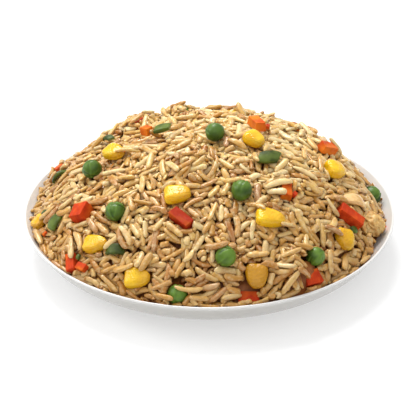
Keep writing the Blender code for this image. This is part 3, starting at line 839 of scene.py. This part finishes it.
def settle(x, y, azimuth, length, width, thick, cross, press):
    """Centre height and slope along itself of each trial grain where it comes to rest, and how far it goes into a roof."""
    ca, sa = np.cos(azimuth), np.sin(azimuth)
    t = ALONG[None, :] * length[:, None] / 2
    w = ACROSS[None, :] * width[:, None]
    px = x[:, None, None] + t[:, :, None] * ca[:, None, None] - w[:, None, :] * sa[:, None, None]
    py = y[:, None, None] + t[:, :, None] * sa[:, None, None] + w[:, None, :] * ca[:, None, None]
    i = np.clip(np.rint((px + REACH) / CELL).astype(int), 0, N - 1)
    j = np.clip(np.rint((py + REACH) / CELL).astype(int), 0, N - 1)
    need = field[i, j] - cross[:, None, None] * w[:, None, :] + thick[:, None, None] / 2 * UNDER
    need = 0.55 * need.max(2) + 0.45 * need.mean(2)
    on_topping = blocked[i, j].any(2)
    best = need[:, MIDDLE].copy()
    pair = (need[:, LEFT] * t[:, RIGHT] - need[:, RIGHT] * t[:, LEFT]) / (t[:, RIGHT] - t[:, LEFT])
    k = pair.argmax(1)
    rows = np.arange(len(x))
    held = pair[rows, k] > best
    two_point = (need[rows, RIGHT[k]] - need[rows, LEFT[k]]) / (t[rows, RIGHT[k]] - t[rows, LEFT[k]])
    low = ((need[:, 5:] - best[:, None]) / t[:, 5:]).max(1)
    high = ((need[:, :4] - best[:, None]) / t[:, :4]).min(1)
    gi, gj = i[:, MIDDLE, 1], j[:, MIDDLE, 1]
    want = grad_x[gi, gj] * ca + grad_y[gi, gj] * sa
    free = np.where(low <= high, np.minimum(np.maximum(want, low), high), (low + high) / 2)
    z = np.where(held, pair[rows, k], best)
    slope = np.where(held, two_point, free)
    top = z[:, None, None] - press + slope[:, None, None] * t[:, :, None] + cross[:, None, None] * w[:, None, :]
    top = top + thick[:, None, None] / 2 * UNDER
    into = (top - roof[i, j]).max((1, 2)) + 9.0 * (keep_open & open_cells[i, j].any((1, 2)))
    return z, slope, want, on_topping, into


def lay(x, y, z, slope, cross, azimuth, length, width, thick):
    """Writes a resting grain's upper side into the field."""
    half = length / 2 + 0.6
    i0, i1 = int((x - half + REACH) / CELL), int((x + half + REACH) / CELL) + 2
    j0, j1 = int((y - half + REACH) / CELL), int((y + half + REACH) / CELL) + 2
    i0, j0 = max(i0, 0), max(j0, 0)
    dx, dy = GX[i0:i1, j0:j1] - x, GY[i0:i1, j0:j1] - y
    ca, sa = math.cos(azimuth), math.sin(azimuth)
    t = dx * ca + dy * sa
    w = -dx * sa + dy * ca
    inside_it = 1 - (np.abs(t) / (length / 2)) ** 4 - (w / (width / 2)) ** 2
    top = z + slope * t + cross * w + thick / 2 * np.sqrt(np.clip(inside_it, 0, 1))
    patch = field[i0:i1, j0:j1]
    patch[inside_it > 0] = np.maximum(patch, top)[inside_it > 0]


def spread_grains(most, gap, lift, tries, press, short=0.12, rounds=60, tilt=1.3, over=2, wander=1.3, astride=False, crumbs=False):
    """Drops grains where most room is left until the heap is full to its outline."""
    laid = 0
    for _ in range(rounds):
        room = np.where(inside & ~blocked & (skipped < 3), target - field, -1.0)
        places = np.argwhere(room > gap)
        if not len(places) or laid >= most:
            break
        weight = room[places[:, 0], places[:, 1]] ** 1.5
        chosen = rng.choice(len(places), size=min(500, len(places)), replace=False, p=weight / weight.sum())
        for c in chosen:
            i, j = places[c]
            if target[i, j] - field[i, j] < gap or skipped[i, j] >= 3:
                continue
            if laid >= most:
                break
            length = np.clip(rng.normal(9.4, 1.25, tries), 6.6, 12.2)
            cut = rng.random() < short
            if cut:
                length = rng.uniform(2.8, 6.2, tries)
            width = np.full(tries, rng.uniform(2.55, 3.55))
            thick = np.clip(width * rng.uniform(0.60, 0.82), 1.75, 2.5)
            if crumbs:
                cut, length = True, rng.uniform(1.3, 3.0, tries)
                width = np.full(tries, rng.uniform(0.9, 1.8))
                thick = width * 0.75
            x = axis[i] + rng.uniform(-wander, wander, tries)
            y = axis[j] + rng.uniform(-wander, wander, tries)
            azimuth = rng.uniform(0, math.pi, tries)
            cross = np.clip(-grad_x[i, j] * np.sin(azimuth) + grad_y[i, j] * np.cos(azimuth), -1.6, 1.6) * 0.85
            cross = cross + rng.normal(0, 0.12, tries)
            z, slope, want, on_topping, into = settle(x, y, azimuth, length, width, thick, cross, press)
            resting = on_topping.sum(1)
            excess = z - press + thick / 2 - target[i, j]
            bad = (resting > over) | (np.abs(slope - want) > tilt) | (np.abs(slope) > 2.8) | (into > 0.8)
            bad |= on_topping[:, 4] if astride else on_topping[:, 2:7].any(1)
            bad |= excess > lift + 0.3 * resting
            score = np.where(bad, 99.0, excess + 0.30 * np.abs(slope - want) + 0.35 * resting)
            k = int(score.argmin())
            if score[k] > 90:
                skipped[i, j] += 1
                continue
            grain = (x[k], y[k], z[k] - press, slope[k], cross[k], azimuth[k], length[k], width[k], thick[k])
            lay(*grain)
            grains.append(grain + (float(cut),))
            laid += 1
    return laid


skipped = np.zeros((N, N), int)
first = spread_grains(5000, 1.5, 0.40, 10, 0.45)
skipped[:] = 0
second = spread_grains(2000, 0.9, 0.60, 16, 0.60, short=0.35)
# the rings round the toppings, where grains lean on them
reach_in = inside.copy()
inside &= near < 4.0
skipped[:] = 0
beside = spread_grains(700, 0.9, 1.1, 24, 0.60, short=0.45, over=3, wander=1.6)
inside = reach_in & (radius_map > edge_map - 6)
skipped[:] = 0
beside += spread_grains(500, 0.8, 0.9, 30, 0.60, short=0.35, over=3, wander=1.6)
inside = reach_in
# from here on grains lie on the toppings that stand out, not under them
field = np.maximum(field, standing)
blocked |= roof < 90
roof[:] = 99.0
# grains that lie across the toppings' edges
keep_open = True
inside = reach_in & (near < 2.6) & ~open_cells
target[:] = np.where(inside, full + 2.4, -99.0)
skipped[:] = 0
astride = spread_grains(150, 1.4, 1.4, 8, 0.35, short=0.25, rounds=4, tilt=1.5, over=5, wander=0.8, astride=True)
inside = reach_in
# loose grains on top, some with an end in the air
target[:] = np.where(inside & ~open_cells, full + 1.2, -99.0)
skipped[:] = 0
third = astride + spread_grains(420, 1.0, 0.7, 4, 0.25, short=0.2, rounds=3, tilt=1.3)
# crumbs of broken grain and egg in the hollows
target[:] = np.where(inside, full + 0.2, -99.0)
skipped[:] = 0
crumbs = spread_grains(420, 0.5, 0.8, 2, 0.1, rounds=2, tilt=2.0, over=0, wander=0.6, crumbs=True)
room_left = np.where(inside & ~blocked, full - field, 0)
print("grains", first, second, beside, third, crumbs, "open share", float((room_left > 2.2).sum()) / float(inside.sum()))

# templates: bent, blunt, ridged grains along X, with half length, width and thickness of 1
RINGS_FINE, AROUND_FINE = 11, 10
RINGS_PLAIN, AROUND_PLAIN = 7, 6


def grain_template(seed, rings, around, cut):
    shape = np.random.default_rng(seed)
    t = -np.cos(np.linspace(0, math.pi, rings) * 0.95 + math.pi * 0.025)
    blunt_low, blunt_high = shape.uniform(2.6, 6.0, 2)
    if cut:
        blunt_high = shape.uniform(10, 16)
    blunt = np.where(t < 0, blunt_low, blunt_high)
    profile = (1 - np.abs(t * 0.985) ** blunt) ** 0.55
    profile = profile * (1 + shape.uniform(-0.14, 0.14) * t)
    if shape.random() < 0.45:
        profile = profile * (1 - shape.uniform(0.10, 0.26) * np.exp(-(((t - shape.uniform(-0.5, 0.5)) / 0.20) ** 2)))
    profile[0], profile[-1] = max(profile[0], 0.20), max(profile[-1], 0.20)
    turn = 2 * math.pi * (np.arange(around) + 0.5) / around
    twist = shape.uniform(-0.35, 0.35)
    angle = turn[None, :] + twist * t[:, None]
    # a cross-section with flats: the nearest of some sides set round it
    sides = int(shape.integers(4, 7))
    side_angle = 2 * math.pi * (np.arange(sides) + shape.uniform(-0.28, 0.28, sides)) / sides + shape.uniform(0, 6)
    side_reach = shape.uniform(0.74, 0.98, sides)
    facing = np.cos(angle[:, :, None] - side_angle[None, None, :])
    flats = (side_reach / np.maximum(facing, 0.25)).min(2)
    flats = np.clip(flats, 0.6, 1.12)
    # ridges of the cross-section, painted paler in the rice material as a highlight
    ridge_highlight = np.clip((flats - 0.90) / 0.20, 0, 1)
    section = 0.20 + 0.80 * flats
    lumps = 1 + 0.05 * np.sin(2.6 * t[:, None] + 2 * angle + shape.uniform(0, 6)) + 0.03 * np.sin(5.5 * t[:, None] + shape.uniform(0, 6) - angle)
    lumps = lumps + 0.016 * shape.normal(0, 1, (rings, around))
    y = profile[:, None] * np.cos(angle) * section * lumps
    z = profile[:, None] * np.sin(angle) * section * lumps
    bend, rise = shape.normal(0, 0.34), shape.normal(0, 0.20)
    bow = (1 - t[:, None] ** 2) - 0.5
    slant = shape.uniform(-0.20, 0.20, 2) if not cut else shape.uniform(-0.35, 0.35, 2)
    x = np.repeat(t[:, None], around, 1)
    ends = np.clip((np.abs(x) - 0.6) / 0.4, 0, 1)
    x = x + ends * np.where(x < 0, slant[0], slant[1]) * y
    return np.stack([x, y + bend * bow, z + rise * bow], -1).reshape(-1, 3), ridge_highlight.ravel()


TEMPLATES = {}
for cut in (0, 1):
    for seed in range(32):
        TEMPLATES[cut, seed] = (grain_template(seed + 100 * cut, RINGS_FINE, AROUND_FINE, cut),
                                grain_template(seed + 100 * cut, RINGS_PLAIN, AROUND_PLAIN, cut))


def grain_piece(name, rows, fine):
    rings, around = (RINGS_FINE, AROUND_FINE) if fine else (RINGS_PLAIN, AROUND_PLAIN)
    quads = closed_faces(tube_faces(rings, around), rings, around)
    per = rings * around
    count = len(rows)
    cells = math.ceil(math.sqrt(count))
    verts = np.empty((count, per, 3))
    tone, tip, edge, underside_painted_shade = (np.empty((count, per)) for _ in range(4))
    ring_at = np.repeat(np.arange(rings) / (rings - 1), around)
    side_at = np.tile(np.arange(around) / around, rings)
    template_tip = np.abs(ring_at * 2 - 1) ** 4
    uv = np.empty((count, len(quads), 4, 2))
    u_corner = ring_at[quads]
    v_corner = side_at[quads].copy()
    wrapped = ((v_corner.max(1) - v_corner.min(1)) > 0.5) & (np.arange(len(quads)) < (rings - 1) * around)
    v_corner[wrapped] = np.where(v_corner[wrapped] < 0.5, v_corner[wrapped] + 1.0, v_corner[wrapped])
    for n, (x, y, z, slope, cross, azimuth, length, width, thick, cut) in enumerate(rows):
        shape, ridge_highlight = TEMPLATES[int(cut), int(rng.integers(32))][0 if fine else 1]
        if rng.random() < 0.5:
            shape = shape * np.array([-1, -1, 1])
        local = shape * np.array([length / 2, width / 2, thick / 2])
        ca, sa = math.cos(azimuth), math.sin(azimuth)
        a = np.array([ca, sa, slope])
        a /= np.linalg.norm(a)
        b = np.array([-sa, ca, cross])
        b -= b.dot(a) * a
        b /= np.linalg.norm(b)
        c = np.cross(a, b)
        roll = rng.normal(0, 0.3)
        b, c = b * math.cos(roll) + c * math.sin(roll), c * math.cos(roll) - b * math.sin(roll)
        verts[n] = np.array([x, y, z]) + local @ np.stack([a, b, c])
        patch = noise.noise(Vector((x / 13.0, y / 13.0, 31.0)))
        # painted light: grains paler towards the back right, where the heap is lit most; painted shade: grains darker
        # towards the front
        pale = 0.32 * math.exp(-((x - 38) ** 2 + (y - 22) ** 2) / 1200) - 0.10 * math.exp(-((x + 5) ** 2 + (y + 40) ** 2) / 900)
        tone[n] = np.clip(rng.normal(0.58 + 0.24 * patch + pale, 0.27), 0, 1)
        edge[n] = ridge_highlight * rng.uniform(0.3, 1.0)
        # painted shade on the lower side of each grain
        underside_painted_shade[n] = 1.5 * np.clip(0.10 - (verts[n, :, 2] - z - slope * (verts[n, :, :2] - (x, y)) @ (ca, sa)) / (thick / 2), 0, 1)
        tip[n] = template_tip * rng.random()
        row, column = divmod(n, cells)
        uv[n, :, :, 0] = (column + 0.12 + 0.76 * u_corner) / cells
        uv[n, :, :, 1] = (row + 0.12 + 0.76 * v_corner) / cells
    flat = verts.reshape(-1, 3)
    i = np.clip(np.rint((flat[:, 0] + REACH) / CELL).astype(int), 0, N - 1)
    j = np.clip(np.rint((flat[:, 1] + REACH) / CELL).astype(int), 0, N - 1)
    # painted shade: how far each point lies under the heap's smooth top, added to the underside shade
    below = np.clip((full[i, j] - flat[:, 2]) / np.sqrt(1 + grad_x[i, j] ** 2 + grad_y[i, j] ** 2), 0, 9)
    below = below + underside_painted_shade.ravel()
    faces = (quads[None] + (np.arange(count) * per)[:, None, None]).reshape(-1, 4)
    made = build_object(name, flat, faces, RICE, {"tone": tone.ravel(), "painted_shade_depth": below, "tip": tip.ravel(), "ridge_highlight": edge.ravel()}, uv.reshape(-1, 2))
    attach(made, "root")
    return made


grains_array = np.array(grains)
gi = np.clip(np.rint((grains_array[:, 0] + REACH) / CELL).astype(int), 0, N - 1)
gj = np.clip(np.rint((grains_array[:, 1] + REACH) / CELL).astype(int), 0, N - 1)
below = (full[gi, gj] - grains_array[:, 2]) / np.sqrt(1 + grad_x[gi, gj] ** 2 + grad_y[gi, gj] ** 2)
deep = (below > 3.6) | (grains_array[:, 6] < 3.0) & (grains_array[:, 7] < 1.9)
upper, lower = grains_array[~deep], grains_array[deep]
print("upper", len(upper), "lower", len(lower), "most below", below.max())
per_grain = 2 * ((RINGS_FINE - 1) * AROUND_FINE + AROUND_FINE - 2)
order = np.argsort(np.arctan2(upper[:, 1], upper[:, 0]), kind="stable")
for g, part in enumerate(np.array_split(order, math.ceil(len(upper) * per_grain / 190000)), 1):
    grain_piece(f"rice_grains_{g}", upper[part].tolist(), True)
if len(lower):
    grain_piece("rice_grains_under", lower.tolist(), False)

# ---------------------------------------------------------------- core under the grains
shares = np.concatenate([np.linspace(0.006, 0.9, 60), np.linspace(0.912, 0.992, 10)])
around = 220
turn = 2 * math.pi * np.arange(around) / around
edge = np.array([edge_radius(a) for a in turn])
rr = shares[:, None] * edge[None, :]
cx, cy = rr * np.cos(turn), rr * np.sin(turn)
ci = np.clip(np.rint((cx + REACH) / CELL).astype(int), 0, N - 1)
cj = np.clip(np.rint((cy + REACH) / CELL).astype(int), 0, N - 1)
cz = core_map[ci, cj]
rough = np.array([noise.noise(Vector((x / 2.1, y / 2.1, 5.0))) for x, y in zip(cx.ravel(), cy.ravel())]).reshape(cx.shape)
cz = np.maximum(cz + 0.5 * rough - 0.2, np.vectorize(inner_height)(rr) + 0.1)
top = np.stack([cx, cy, cz], -1)
under_shares = (0.992, 0.95, 0.86, 0.74, 0.6, 0.3, 0.006)
under = []
for share in under_shares:
    r = share * edge
    under.append(np.stack([r * np.cos(turn), r * np.sin(turn), np.vectorize(inner_height)(r) + 0.02], -1))
verts = np.concatenate([top, np.array(under)]).reshape(-1, 3)
rows = len(shares) + len(under_shares)
faces = closed_faces(tube_faces(rows, around)[:, ::-1], rows, around)
core = build_object("rice_core", verts, faces, CORE)
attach(core, "root")
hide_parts("rice_heap")

# ---------------------------------------------------------------- floor, light and camera
bpy.ops.mesh.primitive_plane_add(size=4.0, location=(0, 0, -0.0001))
floor = bpy.context.object
floor.name = "floor"
m = Nodes("floor_white")
m.set(Base_Color=(0.52, 0.52, 0.52, 1.0), Roughness=0.8)
m.set(Emission_Color=(1.0, 1.0, 1.0, 1.0), Emission_Strength=0.48)
m.set(Specular_IOR_Level=0.1)
floor.data.materials.append(m.material)
floor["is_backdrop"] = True

world = bpy.context.scene.world or bpy.data.worlds.new("World")
bpy.context.scene.world = world
world.use_nodes = True
sky = world.node_tree
ground = sky.nodes.new("ShaderNodeTexCoord")
split = sky.nodes.new("ShaderNodeSeparateXYZ")
blend = sky.nodes.new("ShaderNodeValToRGB")
sky.links.new(ground.outputs["Generated"], split.inputs[0])
sky.links.new(split.outputs[2], blend.inputs[0])
sky.links.new(blend.outputs[0], sky.nodes["Background"].inputs[0])
# a pale band at the horizon is the backdrop, darker low sides over it keep the hollows deep, and the top is bright
for _ in range(2):
    blend.color_ramp.elements.new(0.5)
for element, (at, grey) in zip(blend.color_ramp.elements, ((0.0, 0.86), (0.07, 0.86), (0.13, 0.15), (0.75, 1.0))):
    element.position, element.color = at, (grey, grey, grey, 1)
sky.nodes["Background"].inputs[1].default_value = 1.0


def area_light(name, place, aim, size_m, watts, colour=(1, 1, 1)):
    data = bpy.data.lights.new(name, "AREA")
    data.shape = "DISK"
    data.size = size_m
    data.energy = watts
    data.color = colour
    made = bpy.data.objects.new(name, data)
    made.location = place
    made.rotation_euler = (Vector(aim) - Vector(place)).to_track_quat("-Z", "Y").to_euler()
    bpy.context.scene.collection.objects.link(made)
    return made


area_light("key", (-0.18, 0.62, 1.05), (0, 0, 0.03), 0.62, 12.5)
area_light("side", (-1.00, 0.10, 0.75), (0, 0, 0.03), 0.60, 4.5)
area_light("front", (0.25, -1.10, 1.10), (0, 0, 0.03), 1.00, 2.2)

ELEVATION = math.radians(29.67)
DISTANCE = 0.9
look = Vector((0, math.cos(ELEVATION), -math.sin(ELEVATION)))
up = Vector((0, math.sin(ELEVATION), math.cos(ELEVATION)))
camera_data = bpy.data.cameras.new("camera")
camera_data.sensor_width = 36.0
camera_data.lens = 36.0 * 2015.7 / 420.0
camera_data.clip_start, camera_data.clip_end = 0.05, 20.0
camera = bpy.data.objects.new("camera", camera_data)
camera.location = Vector((0.0004, 0, RIM_HEIGHT * MM)) - look * DISTANCE - up * 0.00047
camera.rotation_mode = "QUATERNION"
camera.rotation_quaternion = look.to_track_quat("-Z", "Y")
bpy.context.scene.collection.objects.link(camera)
bpy.context.scene.camera = camera
bpy.context.scene.view_settings.view_transform = "Standard"

triangles = sum(len(o.data.loop_triangles) or sum(len(p.vertices) - 2 for p in o.data.polygons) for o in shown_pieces() if o.type == "MESH")
print("triangles", triangles)
